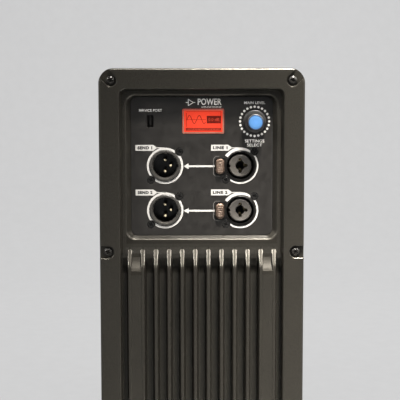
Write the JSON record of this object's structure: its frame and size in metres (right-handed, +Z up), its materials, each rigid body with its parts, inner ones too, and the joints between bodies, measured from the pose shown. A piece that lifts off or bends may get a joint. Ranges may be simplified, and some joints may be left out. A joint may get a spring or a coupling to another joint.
{
  "type": "loudspeaker plate amplifier",
  "caption": "Flanged plate amplifier with recessed control panel, display, push knob, signal sockets, vertical cooling fins, mains panel and rear electronics box.",
  "frame": {"origin": "centre of the flange screw pattern on the cabinet surface, which is the back of the gasket", "axes": "+X to the right seen from outside, +Y into the cabinet, +Z up along the length"},
  "size_m": [0.136, 0.0901, 0.36],
  "materials": {
    "cast_coat": "dark grey fine textured powder coat over die-cast aluminium",
    "gasket_foam": "closed cell foam",
    "plate_coat": "black coated aluminium sheet",
    "panel_film": "matt printed polycarbonate film",
    "black_screw": "black passivated steel",
    "clear_window": "clear acrylic",
    "display_cell": "lit red liquid crystal cell",
    "light_guide": "white light guide",
    "tinned_sheet": "tin-plated sheet",
    "knob_black": "satin black",
    "knob_blue": "lit blue cap",
    "bare_steel": "turned steel",
    "connector_grey": "moulded dark grey",
    "connector_black": "moulded black",
    "insert_grey": "moulded grey",
    "contact_gold": "gold plated",
    "latch_nickel": "warm nickel plated, cast",
    "mains_blue": "moulded blue",
    "mains_grey": "moulded light grey",
    "switch_red": "gloss red",
    "circuit_board": "green solder mask",
    "epoxy_black": "moulded epoxy",
    "thermal_pad": "silicone sheet",
    "zinc_plate": "zinc plated",
    "can_sleeve": "shrink sleeve",
    "copper_wire": "enamelled copper",
    "ferrite": "sintered ferrite",
    "glass_fuse": "glass tube in clips",
    "cable_grey": "flat cable",
    "wire_brown": "insulated wire",
    "cover_steel": "black zinc sheet steel",
    "terminal_black": "moulded nylon"
  },
  "bodies": {
    "amplifier": {"heatsink_chassis": "cast_coat", "flange_gasket": "gasket_foam", "control_overlay": "panel_film", "mains_overlay": "panel_film", "mounting_screws": "black_screw", "lcd_window": "clear_window", "lcd_glass": "display_cell", "lcd_backlight": "light_guide", "lcd_holder": "tinned_sheet", "encoder_housing": "tinned_sheet", "encoder_nut": "zinc_plate", "usb_socket": "tinned_sheet", "control_plate": "plate_coat", "mains_plate": "plate_coat", "plate_screws": "black_screw", "panel_screws": "black_screw", "mains_inlet_housing": "mains_blue", "mains_link_housing": "mains_grey", "mains_contacts": "contact_gold", "switch_frame": "connector_black", "control_board": "circuit_board", "io_board": "circuit_board", "dsp_board": "circuit_board", "power_board": "circuit_board", "board_standoffs": "zinc_plate", "board_screws": "zinc_plate", "power_transistors": "epoxy_black", "insulating_pads": "thermal_pad", "transistor_clamps": "zinc_plate", "clamp_screws": "zinc_plate", "bulk_capacitors": "can_sleeve", "output_inductors": "copper_wire", "transformer_core": "ferrite", "transformer_winding": "copper_wire", "choke_core": "ferrite", "choke_winding": "copper_wire", "bridge_rectifier": "epoxy_black", "line_fuse": "glass_fuse", "ribbon_cable": "cable_grey", "mains_harness": "wire_brown", "rear_cover": "cover_steel", "cover_screws": "zinc_plate", "output_terminal": "terminal_black", "output_1_housing": "connector_grey", "output_1_pins": "contact_gold", "input_1_housing": "connector_black", "input_1_insert": "insert_grey", "input_1_contacts": "contact_gold", "output_2_housing": "connector_grey", "output_2_pins": "contact_gold", "input_2_housing": "connector_black", "input_2_insert": "insert_grey", "input_2_contacts": "contact_gold"},
    "encoder_rotor": {"encoder_rotor": "connector_black"},
    "knob": {"encoder_shaft": "bare_steel", "knob_body": "knob_black", "knob_cap": "knob_blue"},
    "latch_1": {"input_1_latch": "latch_nickel"},
    "latch_2": {"input_2_latch": "latch_nickel"},
    "rocker": {"switch_rocker": "switch_red"}
  },
  "joints": [
    {"name": "knob_turn", "type": "hinge", "parent": "amplifier", "child": "encoder_rotor", "pos_m": [0.0353, 0.0094, 0.1446], "axis": [0, 1, 0], "continuous": true},
    {"name": "knob_push", "type": "slide", "parent": "encoder_rotor", "child": "knob", "axis": [0, 1, 0], "range_m": [0, 0.0008], "stiffness_N_per_m": 2500, "springref_m": -0.0006},
    {"name": "latch_1_press", "type": "slide", "parent": "amplifier", "child": "latch_1", "axis": [0, 1, 0], "range_m": [0, 0.0018], "stiffness_N_per_m": 1500, "springref_m": -0.001},
    {"name": "latch_2_press", "type": "slide", "parent": "amplifier", "child": "latch_2", "axis": [0, 1, 0], "range_m": [0, 0.0018], "stiffness_N_per_m": 1500, "springref_m": -0.001},
    {"name": "power_switch", "type": "hinge", "parent": "amplifier", "child": "rocker", "pos_m": [0, 0.004, -0.135], "axis": [-1, 0, 0], "range_deg": [0, 24]}
  ]
}
